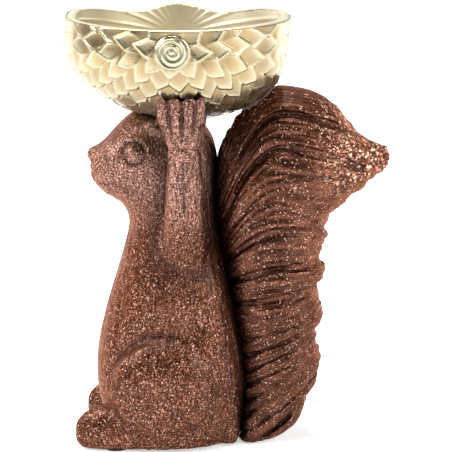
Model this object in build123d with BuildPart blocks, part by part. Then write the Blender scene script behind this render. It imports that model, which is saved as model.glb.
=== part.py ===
from build123d import *

import os
from collections import namedtuple
from math import asin, cos, hypot, pi, radians, sin, sqrt

# A resin squirrel that sits up and holds a scaled bowl on its head and paws.
# Millimetres, +Z up. The squirrel faces -X, its tail is at +X and the bowl's scroll faces -Y.

# A section across the body or the tail, leaning in the mid plane: its front and back points
# there as (x, z), and half its width across.
Section = namedtuple("Section", "front back half_width")

# A section across a limb: its centre and half its size along each of the two directions
LimbSection = namedtuple("LimbSection", "centre half_length half_breadth")

# Fits
GLUE_GAP = 0.2
PIN_CLEARANCE = 0.15

# Feet of felt under the castings
FELT_THICKNESS = 1.0
FELT_RADIUS = 6.5
FRONT_FELT_X = -58.0
FRONT_FELT_SPACING = 46.0
REAR_FELT_X = 16.0
REAR_FELT_SPACING = 16.0

# Body, from the base up the back, over the crown and forward to the nose
BASE = Section((-62, FELT_THICKNESS), (8, FELT_THICKNESS), 33)
HIPS = Section((-67.5, 20), (13, 20), 37)
BELLY = Section((-69.5, 40), (14, 40), 37.5)
WAIST = Section((-66.5, 62), (10.5, 62), 34.5)
CHEST = Section((-60, 85), (4.5, 85), 31)
SHOULDERS = Section((-53, 108), (-1, 108), 28)
NECK = Section((-51, 119), (-3.5, 125), 26)
THROAT = Section((-53, 125), (-4, 146), 24.5)
NAPE = Section((-57, 129.5), (-10, 168), 24.5)
CROWN = Section((-62, 132.3), (-28, 180), 24.5)
BROW = Section((-66.3, 135.7), (-46, 177.5), 21.5)
CHEEK = Section((-70, 140.3), (-60, 165.5), 15.5)
MUZZLE = Section((-71.5, 146.5), (-69, 158), 9)
BODY_SECTIONS = [
    BASE, HIPS, BELLY, WAIST, CHEST, SHOULDERS, NECK, THROAT, NAPE, CROWN, BROW, CHEEK, MUZZLE,
]

# Nose, eyes and ears
NOSE_RADIUS = 4.5
NOSE_HEIGHT = 153.5
NOSE_X = -68.5
EYE_RADIUS = 5.0
EYE_X = -46.8
EYE_HEIGHT = 158.0
EYE_SPACING = 42.0
EAR_X = -35.0
EAR_HEIGHT = 168.0
EAR_SPACING = 36.0
EAR_RADIUS = 7.5
EAR_HALF_THICKNESS = 4.5

# Haunches and feet
HAUNCH_X = -33.0
HAUNCH_HEIGHT = 34.0
HAUNCH_SPACING = 62.0
HAUNCH_RADIUS = 27.5
HAUNCH_HALF_THICKNESS = 11.5
FOOT_SPACING = 46.0
RIGHT_FOOT_BACK = 2.5
FOOT_SECTIONS = [
    LimbSection((-79.5, 8.5), 3.0, 3.5),
    LimbSection((-76.5, 9), 7.0, 8.5),
    LimbSection((-68, 10), 9.5, 12.5),
    LimbSection((-55, 10), 10.5, 12.5),
    LimbSection((-38, 8), 11.0, 11.0),
    LimbSection((-20, 6), 10.5, 9.0),
    LimbSection((-13, 5), 6.0, 6.0),
]

# Arms, raised to the bowl: each section's centre is (x, half the spacing, share of the rise
# from the shoulder to the palm)
SHOULDER_HEIGHT = 100.0
ARM_SECTIONS = [
    LimbSection((-23.5, 11, -0.2), 10.0, 8.0),
    LimbSection((-22.3, 19, 0.0), 12.5, 9.0),
    LimbSection((-21.6, 26, 0.18), 11.3, 9.5),
    LimbSection((-21.2, 31.5, 0.36), 9.7, 9.0),
    LimbSection((-21, 35, 0.6), 8.8, 8.0),
    LimbSection((-21.2, 37.5, 0.82), 8.3, 7.4),
    LimbSection((-21.5, 38.7, 0.91), 9.8, 7.6),
    LimbSection((-21.8, 39.5, 0.97), 11.8, 7.8),
    LimbSection((-21.8, 40.5, 1.04), 12.3, 7.4),
    LimbSection((-21.8, 41.5, 1.12), 11.5, 6.0),
]
PALM_DROP = 6.0
FINGER_COUNT = 4
FINGER_RADIUS = 3.1
FINGER_LENGTH = 12.0
FINGER_SPACING = 5.9
FINGER_LEAN = 12.0
FINGER_ROOT = 2.0
FINGER_SINK = 2.0

# Tail, from its foot up the back and over to the tip, waved along its rear edge
TAIL_SECTIONS = [
    Section((4, -10), (24, -10), 13),
    Section((3, 3), (33.5, 3), 18),
    Section((3, 16), (42.3, 16), 21.5),
    Section((3, 33), (48.5, 31), 24),
    Section((2.5, 48), (50.8, 46), 25),
    Section((2, 57), (48, 55), 24.5),
    Section((0.5, 70), (51.8, 67.5), 25.5),
    Section((-1, 83), (49.3, 80), 25),
    Section((-3, 97), (53.2, 92), 26),
    Section((-5, 110), (50, 102), 25.5),
    Section((-7, 126), (54.8, 112.5), 26.5),
    Section((-7, 142), (53.5, 119.5), 26.5),
    Section((-3, 158), (58.5, 125.5), 26.5),
    Section((6, 174), (63, 129), 26),
    Section((16, 187), (67, 132.5), 24.5),
    Section((35, 189), (73, 136.5), 21.5),
    Section((53, 182.5), (78.5, 141), 16.5),
    Section((66.5, 168.5), (82.5, 145), 11),
    Section((77, 160.5), (85.3, 149.5), 6.5),
    Section((85, 158), (86.3, 153.5), 3),
]

# Locks carved in the tail: hair lines run from its front edge to its rear, and each is named by
# its height at the front. Low lines rise straight, and high ones arch over to the tip.
LOCK_WIDTH = 9.8
LOCK_GAP = 2.4
LOCK_DEPTH = 1.4
LOCK_COUNT = 15
CORE_CORNERS = 12
LOWEST_LINE = -16.2
HAIR_FRONT = -5.0
HAIR_PLACES = (-14, 0, 12, 26, 44, 60, 72)
LOW_SLOPE = 0.8
LEVEL_LINE = 90.0
ARCH_START = 60.0
ARCH_END = 130.0
ARCH_RISE = 59.0
ARCH_CREST = 28.0
ARCH_TAPER = 2.6

# Bowl: a round-bottomed cup that leans to the tail, with a waved rim and a peak at its far side
BOWL_X = -26.2
BOWL_RADIUS = 57.0
BOWL_DEPTH = 36.0
BOWL_WALL = 4.5
BOWL_LEAN = 6.0
BOWL_SINK = 6.0
LIP_HEIGHT = 16.5
NEAR_DIP = 3.7
PEAK_HEIGHT = 2.8
PEAK_DIP = 1.7
PEAK_DIP_X = 19.0
PEAK_SHOULDER = 1.0
PEAK_SHOULDER_X = 43.0

# Scales on the bowl, in rings about the scroll
SCALE_STEP = 10.7
SCALE_WIDTH = 10.0
SCALE_HEIGHT = 0.75
SCALE_ROOT = 2.0
SCALE_GROOVE = 0.9
SCALE_TILT = 5.0
SCALE_SHOULDER = 0.55
SCROLL_RADIUS = 8.5
SCROLL_HEIGHT = 1.4
SCROLL_RISE = 2.0
SCROLL_GROOVE = 0.9
SCROLL_PITCH = 2.4
SCROLL_TURNS = 3

# Steel pins between the castings
TAIL_PIN_RADIUS = 2.0
TAIL_PIN_LENGTH = 24.0
ARM_PIN_RADIUS = 1.5
ARM_PIN_LENGTH = 14.0
BOWL_PIN_RADIUS = 2.5
BOWL_PIN_LENGTH = 14.0
BOWL_PIN_DEPTH = 2.5

# Reach of a curve's handles, as a share of the radius, that makes a quarter round
QUARTER_HANDLE = 0.5523

# Angle, in degrees, at the end of a spun round form that is flat
FLAT_ANGLE = 7.0

# Small turn, in radians, for measuring along the bowl
RING_STEP = 0.01

# Heights that follow from the sizes above
BOWL_BOTTOM = CROWN.back[1] - BOWL_SINK
BOWL_MIDDLE = BOWL_BOTTOM + BOWL_DEPTH
RIM_HEIGHT = BOWL_MIDDLE + LIP_HEIGHT

# Bowl's own frame: its middle, with Z along the leaning axis
LEAN_SINE = sin(radians(BOWL_LEAN))
LEAN_COSINE = cos(radians(BOWL_LEAN))
BOWL_FRAME = Plane(
    (BOWL_X, 0, BOWL_MIDDLE), x_dir=(LEAN_COSINE, 0, -LEAN_SINE), z_dir=(LEAN_SINE, 0, LEAN_COSINE)
)
BOWL_SECTION = Plane(BOWL_FRAME.origin, x_dir=BOWL_FRAME.x_dir, z_dir=-BOWL_FRAME.y_dir)
BOWL_AXIS = Axis(BOWL_FRAME.origin, BOWL_FRAME.z_dir)
BOWL_TOP = LIP_HEIGHT + PEAK_HEIGHT + PEAK_SHOULDER + BOWL_RADIUS * LEAN_SINE

# Most that a flat, tilted scale stands proud of the bowl, where the bowl curves most
TIGHTEST_CURVE = BOWL_DEPTH**2 / BOWL_RADIUS
SCALE_TOP = (
    SCALE_HEIGHT
    + SCALE_STEP / 2 * sin(radians(SCALE_TILT))
    + SCALE_WIDTH**2 / 8 / TIGHTEST_CURVE
)

UPPER_ARM = ARM_SECTIONS[2]
PALM = ARM_SECTIONS[-3]
SIDES = (-1, 1)


def oval_curves(half_length, half_breadth):
    """Four quarter curves round an oval, each as its control points, from corner to corner."""
    curves = []
    for quarter in range(4):
        start = pi / 4 + quarter * pi / 2
        end = start + pi / 2
        controls = [
            (cos(start), sin(start)),
            (cos(start) - QUARTER_HANDLE * sin(start), sin(start) + QUARTER_HANDLE * cos(start)),
            (cos(end) + QUARTER_HANDLE * sin(end), sin(end) - QUARTER_HANDLE * cos(end)),
            (cos(end), sin(end)),
        ]
        curves.append([(half_length * x, half_breadth * y) for x, y in controls])
    return curves


def oval_loft(ovals):
    """Solid through ovals, each given as its plane and its two half sizes."""
    with BuildPart() as solid:
        for plane, half_length, half_breadth in ovals:
            with BuildSketch(plane):
                with BuildLine():
                    for controls in oval_curves(half_length, half_breadth):
                        Bezier(*controls)
                make_face()
        loft()
    return solid.part


def section_plane(section):
    """Plane of a leaning section about its middle, and half its length from front to back."""
    front = Vector(section.front[0], 0, section.front[1])
    back = Vector(section.back[0], 0, section.back[1])
    across = back - front
    plane = Plane((front + back) / 2, x_dir=across, z_dir=across.cross(Vector(0, 1, 0)))
    return plane, across.length / 2


def leaning_loft(sections, grow=0.0):
    """Solid through leaning sections, each made larger all round by grow."""
    ovals = []
    for section in sections:
        plane, half_length = section_plane(section)
        ovals.append((plane, half_length + grow, section.half_width + grow))
    return oval_loft(ovals)


def carving_core(sections, depth):
    """Plain-sided solid under the surface through leaning sections, its corners at a depth."""
    turns = [2 * pi * (corner + 0.5) / CORE_CORNERS for corner in range(CORE_CORNERS)]
    with BuildPart() as solid:
        for section in sections:
            plane, half_length = section_plane(section)
            along = half_length - depth
            aside = section.half_width - depth
            with BuildSketch(plane):
                Polygon(*[(along * cos(turn), aside * sin(turn)) for turn in turns], align=None)
        loft(ruled=True)
    return solid.part


def hair_height(x, line):
    """Height at x of the hair line that starts at a given height on the tail's front edge."""
    share = min(max((line - ARCH_START) / (ARCH_END - ARCH_START), 0), 1)
    arching = share**2 * (3 - 2 * share)
    slope = LOW_SLOPE * min(max(1 - line / LEVEL_LINE, 0), 1)
    reach = ARCH_CREST - HAIR_FRONT
    past = (x - ARCH_CREST) / reach
    if past > 0:
        past /= ARCH_TAPER
    return line + (1 - arching) * slope * (x - HAIR_FRONT) + arching * ARCH_RISE * (1 - past**2)


def lock_gap(line, half_width, core):
    """Space between two locks, along a hair line, round the tail's core."""
    under = [(x, hair_height(x, line - LOCK_GAP / 2)) for x in HAIR_PLACES]
    over = [(x, hair_height(x, line + LOCK_GAP / 2)) for x in HAIR_PLACES]
    with BuildPart() as solid:
        with BuildSketch(Plane.XZ):
            with BuildLine():
                Spline(*under)
                Line(under[-1], over[-1])
                Spline(*over)
                Line(over[0], under[0])
            make_face()
        extrude(amount=half_width, both=True)
        add(core, mode=Mode.SUBTRACT)
    return solid.part


def lobe(centre, radius, half_thickness):
    """Round lobe, flattened across, spun about a line through its centre along Y."""
    end_radius = radius * sin(radians(FLAT_ANGLE))
    end = half_thickness * cos(radians(FLAT_ANGLE))
    with BuildPart() as solid:
        with BuildSketch(Plane(centre)):
            with BuildLine():
                EllipticalCenterArc(
                    (0, 0), radius, half_thickness, start_angle=FLAT_ANGLE - 90, arc_size=180 - 2 * FLAT_ANGLE
                )
                Polyline((end_radius, end), (0, end), (0, -end), (end_radius, -end))
            make_face()
        revolve(axis=Axis(centre, (0, 1, 0)))
    return solid.part


def foot(side):
    """Long hind foot, lofted from the toes back to the heel."""
    ovals = []
    back = RIGHT_FOOT_BACK if side > 0 else 0.0
    for section in FOOT_SECTIONS:
        x, z = section.centre
        plane = Plane((x + back, side * FOOT_SPACING / 2, z), x_dir=(0, 1, 0), z_dir=(1, 0, 0))
        ovals.append((plane, section.half_length, section.half_breadth))
    return oval_loft(ovals)


def bowl_profile(inset, top):
    """Half section of the bowl's round form, inset from its outside and closed on its axis."""
    radius = BOWL_RADIUS - inset
    depth = BOWL_DEPTH - inset
    flat_radius = radius * sin(radians(FLAT_ANGLE))
    flat_depth = depth * cos(radians(FLAT_ANGLE))
    with BuildSketch(BOWL_SECTION) as profile:
        with BuildLine():
            EllipticalCenterArc(
                (0, 0), radius, depth, start_angle=FLAT_ANGLE - 90, arc_size=90 - FLAT_ANGLE
            )
            Polyline(
                (radius, 0), (radius, top), (0, top), (0, -flat_depth), (flat_radius, -flat_depth)
            )
        make_face()
    return profile.sketch


def bowl_envelope():
    """Space that the bowl takes up, scales included, with the glue gap round it."""
    with BuildPart() as solid:
        add(bowl_profile(-SCALE_TOP - GLUE_GAP, BOWL_TOP))
        revolve(axis=BOWL_AXIS)
    return solid.part


def bowl_height(x, y):
    """Height of the bowl's underside over a point, inside its widest line."""
    out = x - BOWL_X
    drop = BOWL_DEPTH * sqrt(1 - (hypot(out, y) / BOWL_RADIUS) ** 2)
    return BOWL_MIDDLE - drop - out * LEAN_SINE / LEAN_COSINE


PALM_HEIGHT = bowl_height(*PALM.centre[:2]) - PALM_DROP
UPPER_ARM_HEIGHT = SHOULDER_HEIGHT + UPPER_ARM.centre[2] * (PALM_HEIGHT - SHOULDER_HEIGHT)


def rim_height(x, y):
    """Lowest height of the waved rim beside a point."""
    if y > 0:
        return RIM_HEIGHT - PEAK_DIP
    return RIM_HEIGHT - NEAR_DIP * (1 - ((x - BOWL_X) / BOWL_RADIUS) ** 2)


def bowl_point(spread, turn):
    """Point and outward direction on the bowl, spread from the scroll and turned from below."""
    ahead = -cos(spread)
    up = -sin(spread) * cos(turn)
    lift = SCROLL_RISE / BOWL_RADIUS
    out = Vector(
        sin(spread) * sin(turn),
        ahead * cos(lift) + up * sin(lift),
        up * cos(lift) - ahead * sin(lift),
    )
    if out.Z <= 0:
        point = Vector(BOWL_RADIUS * out.X, BOWL_RADIUS * out.Y, BOWL_DEPTH * out.Z)
        normal = Vector(out.X / BOWL_RADIUS, out.Y / BOWL_RADIUS, out.Z / BOWL_DEPTH)
    else:
        normal = Vector(out.X, out.Y, 0).normalized()
        point = normal * BOWL_RADIUS + Vector(0, 0, BOWL_RADIUS * asin(out.Z))
    tip = BOWL_FRAME.from_local_coords(point + normal.normalized())
    point = BOWL_FRAME.from_local_coords(point)
    return point, tip - point


def bowl_scale(spread, turn):
    """One five-sided scale on the bowl, pointing away from the scroll with its free edge raised."""
    half_step = SCALE_STEP / BOWL_RADIUS / 2
    point, normal = bowl_point(spread, turn)
    along = bowl_point(spread + half_step, turn)[0] - bowl_point(spread - half_step, turn)[0]
    half_length = (along.length - SCALE_GROOVE) / 2
    half_width = (SCALE_WIDTH - SCALE_GROOVE) / 2
    shoulder = half_length * SCALE_SHOULDER
    with BuildPart() as solid:
        with BuildSketch(Plane.XY.offset(-SCALE_ROOT)):
            Polygon(
                (-half_width, -half_length),
                (half_width, -half_length),
                (half_width, shoulder),
                (0, half_length),
                (-half_width, shoulder),
                align=None,
            )
        extrude(amount=SCALE_ROOT + SCALE_HEIGHT)
    place = Plane(point, x_dir=along.cross(normal), z_dir=normal)
    return place.location * Rot(X=SCALE_TILT) * solid.part


def ring_turns(spread, first):
    """Turns of the scales along one ring, a scale's width apart, from below out to the rim both ways."""
    turns = []
    for direction in SIDES:
        turn = 0.0
        way = 0.0
        wanted = first if direction > 0 else SCALE_WIDTH - first
        point = bowl_point(spread, turn)[0]
        while abs(turn) < pi and point.Z < rim_height(point.X, point.Y) - SCALE_WIDTH / 4:
            if way >= wanted:
                turns.append(turn)
                wanted += SCALE_WIDTH
            turn += direction * RING_STEP
            following = bowl_point(spread, turn)[0]
            way += (following - point).length
            point = following
    return turns


def bowl_scales():
    """All the scales, in staggered rings from the scroll round to the far peak."""
    scales = []
    spread = (SCROLL_RADIUS + SCALE_STEP / 2) / BOWL_RADIUS
    first = 0.0
    while BOWL_RADIUS * (pi - spread) > SCROLL_RADIUS + SCALE_STEP / 2:
        scales += [bowl_scale(spread, turn) for turn in ring_turns(spread, first)]
        first = SCALE_WIDTH / 2 - first
        spread += SCALE_STEP / BOWL_RADIUS
    return scales


def scroll():
    """Round boss at the near side of the bowl, with a groove that winds out in half turns."""
    middle = (BOWL_X, -BOWL_RADIUS - SCROLL_HEIGHT, BOWL_MIDDLE + SCROLL_RISE)
    face = Plane(middle, x_dir=(1, 0, 0), z_dir=(0, -1, 0))
    with BuildPart() as solid:
        with BuildSketch(face):
            Circle(SCROLL_RADIUS)
        extrude(amount=-BOWL_WALL)
        fillet(solid.faces().sort_by(Axis.Y)[0].edges(), SCROLL_HEIGHT / 2)
        with BuildSketch(face):
            start = 0.0
            for half_turn in range(1, 2 * SCROLL_TURNS):
                end = (-1) ** half_turn * half_turn * SCROLL_PITCH / 2
                middle = (start + end) / 2
                outer = abs(end - start) / 2 + SCROLL_GROOVE / 2
                inner = outer - SCROLL_GROOVE
                sweep = 180 if half_turn % 2 else -180
                with BuildLine():
                    CenterArc((middle, 0), outer, 0, sweep)
                    Line((middle - outer, 0), (middle - inner, 0))
                    CenterArc((middle, 0), inner, 0, sweep)
                    Line((middle + inner, 0), (middle + outer, 0))
                make_face()
                start = end
        extrude(amount=-SCROLL_HEIGHT / 2, mode=Mode.SUBTRACT)
    return solid.part


def dowel(radius, length, centre, direction):
    """Round pin about its centre along a direction."""
    with BuildPart() as solid:
        with BuildSketch(Plane(centre, z_dir=direction)):
            Circle(radius)
        extrude(amount=length / 2, both=True)
    return solid.part


def dowels(places, radius, length, direction):
    """Pins of one size, each at its place."""
    return [dowel(radius, length, place, direction) for place in places]


def finger_plane(place):
    """Plane at the root of one left finger, looking along it, by its place from the paw's middle."""
    x, half_spacing = PALM.centre[:2]
    out = half_spacing + PALM.half_breadth - FINGER_SINK
    root = (x + place * FINGER_SPACING, -out, PALM_HEIGHT - FINGER_ROOT)
    lean = radians(FINGER_LEAN)
    return Plane(root, x_dir=(1, 0, 0), z_dir=(0, -sin(lean), cos(lean)))


def left_limb():
    """Left arm from the shoulder to the palm."""
    ovals = []
    for section in ARM_SECTIONS:
        x, half_spacing, share = section.centre
        height = SHOULDER_HEIGHT + share * (PALM_HEIGHT - SHOULDER_HEIGHT)
        ovals.append((Plane((x, -half_spacing, height)), section.half_length, section.half_breadth))
    return oval_loft(ovals)


def rim_cutter():
    """Space over the waved rim: a low sweep at the near side, and a peak between dips at the far side."""
    reach = BOWL_RADIUS + BOWL_WALL
    top = BOWL_MIDDLE + 2 * BOWL_TOP
    lid = [
        (BOWL_X + reach, RIM_HEIGHT),
        (BOWL_X + reach, top),
        (BOWL_X - reach, top),
        (BOWL_X - reach, RIM_HEIGHT),
    ]
    with BuildPart() as solid:
        with BuildSketch(Plane.XZ):
            with BuildLine():
                ThreePointArc(lid[-1], (BOWL_X, RIM_HEIGHT - NEAR_DIP), lid[0])
                Polyline(*lid)
            make_face()
        extrude(amount=reach)
        with BuildSketch(Plane.XZ):
            with BuildLine():
                Spline(
                    lid[-1],
                    (BOWL_X - PEAK_SHOULDER_X, RIM_HEIGHT + PEAK_SHOULDER),
                    (BOWL_X - PEAK_DIP_X, RIM_HEIGHT - PEAK_DIP),
                    (BOWL_X, RIM_HEIGHT + PEAK_HEIGHT),
                    (BOWL_X + PEAK_DIP_X, RIM_HEIGHT - PEAK_DIP),
                    (BOWL_X + PEAK_SHOULDER_X, RIM_HEIGHT + PEAK_SHOULDER),
                    lid[0],
                )
                Polyline(*lid)
            make_face()
        extrude(amount=-reach)
    return solid.part


# Forms that the neighbouring castings are cut to fit
body_room = leaning_loft(BODY_SECTIONS, GLUE_GAP)
bowl_room = bowl_envelope()

# Places of the pins
tail_pin_places = [(back[0], 0, back[1]) for back in (BELLY.back, CHEST.back)]
arm_pin_places = [(UPPER_ARM.centre[0], side * NECK.half_width, UPPER_ARM_HEIGHT) for side in SIDES]
bowl_pin_place = (BOWL_X, 0, BOWL_BOTTOM + BOWL_PIN_DEPTH - BOWL_PIN_LENGTH / 2)

# Holes for the pins
hole = 2 * PIN_CLEARANCE
tail_holes = dowels(tail_pin_places, TAIL_PIN_RADIUS + PIN_CLEARANCE, TAIL_PIN_LENGTH + hole, (1, 0, 0))
arm_holes = dowels(arm_pin_places, ARM_PIN_RADIUS + PIN_CLEARANCE, ARM_PIN_LENGTH + hole, (0, 1, 0))
bowl_hole = dowel(BOWL_PIN_RADIUS + PIN_CLEARANCE, BOWL_PIN_LENGTH + hole, bowl_pin_place, (0, 0, 1))

body_form = leaning_loft(BODY_SECTIONS)
tail_form = leaning_loft(TAIL_SECTIONS)
tail_core = carving_core(TAIL_SECTIONS[:-1], LOCK_DEPTH)
tail_reach = 2 * max(section.half_width for section in TAIL_SECTIONS)
lock_lines = [LOWEST_LINE + k * LOCK_WIDTH for k in range(LOCK_COUNT)]
lock_gaps = [lock_gap(line, tail_reach, tail_core) for line in lock_lines]
feet = [foot(side) for side in SIDES]
haunches = [
    lobe((HAUNCH_X, side * HAUNCH_SPACING / 2, HAUNCH_HEIGHT), HAUNCH_RADIUS, HAUNCH_HALF_THICKNESS)
    for side in SIDES
]
ears = [lobe((EAR_X, side * EAR_SPACING / 2, EAR_HEIGHT), EAR_RADIUS, EAR_HALF_THICKNESS) for side in SIDES]

with BuildPart() as body:
    add(body_form)
    add(haunches)
    add(feet)
    add(ears)
    with Locations(*[(EYE_X, side * EYE_SPACING / 2, EYE_HEIGHT) for side in SIDES]):
        Sphere(EYE_RADIUS)
    with Locations((NOSE_X, 0, NOSE_HEIGHT)):
        Sphere(NOSE_RADIUS)
    split(bisect_by=Plane.XY.offset(FELT_THICKNESS), keep=Keep.TOP)
    add(bowl_room, mode=Mode.SUBTRACT)
    add(tail_holes + arm_holes + [bowl_hole], mode=Mode.SUBTRACT)
body.part.label = "body_casting"

with BuildPart() as tail:
    add(tail_form)
    add(lock_gaps, mode=Mode.SUBTRACT, clean=False)
    split(bisect_by=Plane.XY.offset(FELT_THICKNESS), keep=Keep.TOP)
    add(body_room, mode=Mode.SUBTRACT)
    add(haunches, mode=Mode.SUBTRACT)
    add(bowl_room, mode=Mode.SUBTRACT)
    add(tail_holes, mode=Mode.SUBTRACT)
tail.part.label = "tail_casting"

scales = bowl_scales()
scroll_boss = scroll()
over_rim = rim_cutter()

with BuildPart() as bowl:
    add(bowl_profile(0, BOWL_TOP))
    revolve(axis=BOWL_AXIS)
    add(bowl_profile(BOWL_WALL, BOWL_TOP))
    revolve(axis=BOWL_AXIS, mode=Mode.SUBTRACT)
    add(scroll_boss)
    add(scales, clean=False)
    add([over_rim, bowl_hole], mode=Mode.SUBTRACT, clean=False)
bowl.part.label = "bowl"

limb = left_limb()
finger_planes = [finger_plane(k - (FINGER_COUNT - 1) / 2) for k in range(FINGER_COUNT)]

with BuildPart() as left_arm:
    add(limb)
    for plane in finger_planes:
        with BuildSketch(plane):
            Circle(FINGER_RADIUS)
        extrude(amount=FINGER_LENGTH)
        with Locations(plane.offset(FINGER_LENGTH)):
            Sphere(FINGER_RADIUS)
    add(body_room, mode=Mode.SUBTRACT)
    add(bowl_room, mode=Mode.SUBTRACT)
    add(arm_holes, mode=Mode.SUBTRACT)
left_arm.part.label = "left_arm"

with BuildPart() as right_arm:
    mirror(left_arm.part, about=Plane.XZ)
right_arm.part.label = "right_arm"

with BuildPart() as tail_pins:
    add(dowels(tail_pin_places, TAIL_PIN_RADIUS, TAIL_PIN_LENGTH, (1, 0, 0)))
tail_pins.part.label = "tail_pins"

with BuildPart() as arm_pins:
    add(dowels(arm_pin_places, ARM_PIN_RADIUS, ARM_PIN_LENGTH, (0, 1, 0)))
arm_pins.part.label = "arm_pins"

with BuildPart() as bowl_pin:
    add(dowel(BOWL_PIN_RADIUS, BOWL_PIN_LENGTH, bowl_pin_place, (0, 0, 1)))
bowl_pin.part.label = "bowl_pin"

with BuildPart() as felt_pads:
    with BuildSketch():
        with Locations((FRONT_FELT_X, 0)):
            with GridLocations(0, FRONT_FELT_SPACING, 1, 2):
                Circle(FELT_RADIUS)
        with Locations((REAR_FELT_X, 0)):
            with GridLocations(0, REAR_FELT_SPACING, 1, 2):
                Circle(FELT_RADIUS)
    extrude(amount=FELT_THICKNESS)
felt_pads.part.label = "felt_pads"

os.makedirs("parts", exist_ok=True)
for piece in (body, tail, bowl, left_arm, right_arm, tail_pins, arm_pins, bowl_pin, felt_pads):
    export_step(piece.part, f"parts/{piece.part.label}.step")
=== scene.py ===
import bmesh
import bpy
import numpy as np
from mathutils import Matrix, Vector
from mathutils.bvhtree import BVHTree


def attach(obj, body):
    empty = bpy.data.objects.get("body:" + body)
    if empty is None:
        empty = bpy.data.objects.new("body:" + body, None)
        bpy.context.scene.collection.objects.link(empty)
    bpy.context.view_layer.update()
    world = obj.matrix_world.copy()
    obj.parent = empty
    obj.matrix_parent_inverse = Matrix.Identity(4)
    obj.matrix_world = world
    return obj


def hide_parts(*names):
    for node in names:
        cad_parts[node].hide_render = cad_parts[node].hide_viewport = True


# A glitter-coated squirrel with a gold bowl of scales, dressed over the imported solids.
# Shapes are worked out in millimetres and written back in the frame's metres.
# The squirrel faces -X, the camera looks along +Y, and +Z is up.
# A fade is a pair of places or shares: where a form is still absent, and where it is at its full.
# Fades named OVER and UNDER run along Z, AHEAD and BEHIND along X, and OUT to both sides of the middle.

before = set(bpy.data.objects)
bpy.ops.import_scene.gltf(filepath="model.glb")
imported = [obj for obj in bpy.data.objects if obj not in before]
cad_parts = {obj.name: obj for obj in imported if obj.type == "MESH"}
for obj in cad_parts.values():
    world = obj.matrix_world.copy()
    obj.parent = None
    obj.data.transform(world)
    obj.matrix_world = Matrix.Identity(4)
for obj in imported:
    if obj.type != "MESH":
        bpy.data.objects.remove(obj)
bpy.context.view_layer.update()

MM = 0.001

# Even meshes: spacing of the vertices, rounds of smoothing, and growth that joins the arms to the body
BODY_VOXEL = 0.9
TAIL_VOXEL = 0.74
BODY_SMOOTHING = 3
TAIL_SMOOTHING = 6
SMOOTHING_SHARE = 0.5
ARM_GROWTH = 0.35
WELD_DISTANCE = 1e-6
ARM_NODES = ("left_arm", "right_arm")

# Large numbers that scramble whole-number cells into noise
CELL_FACTORS = (73856093, 19349663, 83492791)
SEED_FACTOR = 2654435761
MIX_FACTOR = 1274126177

# Patterns of noise: a seed, then the size of a patch along each of three values
COARSE_FUR = (3, 2.4, 2.4, 19.0)
FINE_FUR = (5, 1.5, 1.5, 11.0)
SWAY = (11, 26.0, 30.0, 12.0)
PARTING_SWAY = (12, 17.0, 22.0, 9.0)
PARTED_STRETCH = (13, 19.0, 25.0, 1.0)
COARSE_STRAND = (14, 1.9, 30.0, 24.0)
FINE_STRAND = (15, 1.15, 22.0, 18.0)
REAR_TUFT = (16, 5.0, 9.0, 40.0)

# Parts of the body that are rounded, and how much
SHOULDERS_OVER = (80.0, 92.0)
SHOULDERS_UNDER = (128.0, 112.0)
SHOULDERS_OUT = (14.0, 20.0)
PAWS_OVER = (158.0, 166.0)
PAWS_OUT = (30.0, 34.0)
RUMP_BEHIND = (-34.0, -18.0)
RUMP_UNDER = (72.0, 60.0)
SOLES_BEHIND = (-64.0, -56.0)
SOLES_UNDER = (26.0, 16.0)
BACK_BEHIND = (-40.0, -26.0)
CREASE_FILL = 0.12
EYE_FILL = 0.15
FILL_ROUNDS = 60
PAW_ROUNDS = 14
BACK_ROUNDS = 50
BACK_SHARE = 0.8

# Eyes, with a groove and a lid round each, the lid fullest up and back
EYE_X = -46.8
EYE_HEIGHT = 158.0
EYE_SIDE = 12.0
EYE_REACH = 12.0
LID_GROOVE_RADIUS = 5.7
LID_GROOVE_WIDTH = 0.8
LID_GROOVE_DEPTH = 0.85
LID_RADIUS = 7.6
LID_WIDTH = 1.1
LID_HEIGHT = 0.7
LID_WAY = (0.6, 0.8)
LID_FADE = (-0.6, 0.5)
LID_CORE = 0.1

# Nostrils and mouth, the mouth as lines in the XZ plane
NOSTRIL = (-72.0, 2.6, 151.5)
NOSTRIL_RADIUS = 1.3
NOSTRIL_DEPTH = 1.1
MOUTH_CORNER = (-66.5, 140.5)
MOUTH = ((-71.5, 146.5), MOUTH_CORNER)
JAW = (MOUTH_CORNER, (-61.5, 139.0))
MOUTH_WIDTH = 1.0
MOUTH_DEPTH = 0.9
MUZZLE_BACK = -58.0

# Fingers that fan out above each wrist, counted in spacings from the paw's middle
PAW_X = -21.8
FINGER_SPACING = 5.9
FINGER_FAN = 0.014
FINGER_MIDDLE = 175.0
FINGER_REACH = 1.5
FINGERS_OVER = (164.0, 174.0)
FINGERS_OUT = (38.0, 41.0)
FINGER_HEIGHT = 0.5
FINGER_PARTING_DEPTH = 1.6
FINGER_PARTING_WIDTH = 1.1
WRIST_HEIGHT = 163.5
WRIST_BEND = 0.02
WRIST_WIDTH = 1.3
WRIST_DEPTH = 0.7

# Hollow down the outside of each forearm, faded at both ends by shares of its length
FOREARM = ((-21.1, 160.0), (-21.5, 126.0))
FOREARM_OUT = (28.0, 32.0)
FOREARM_START = (0.0, 0.15)
FOREARM_END = (1.0, 0.8)
FOREARM_WIDTH = 1.5
FOREARM_DEPTH = 1.3

# Flank, hollow over the haunch and full beside the tail, each patch with its reach along X and Z
FLANK_OUT = (10.0, 20.0)
FLANK_HOLLOW = (-26.0, 66.0)
FLANK_HOLLOW_REACH = (14.0, 7.0)
FLANK_HOLLOW_DEPTH = 2.6
FLANK_SWELL = (-5.0, 68.0)
FLANK_SWELL_REACH = (6.0, 18.0)
FLANK_SWELL_HEIGHT = 1.6

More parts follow.
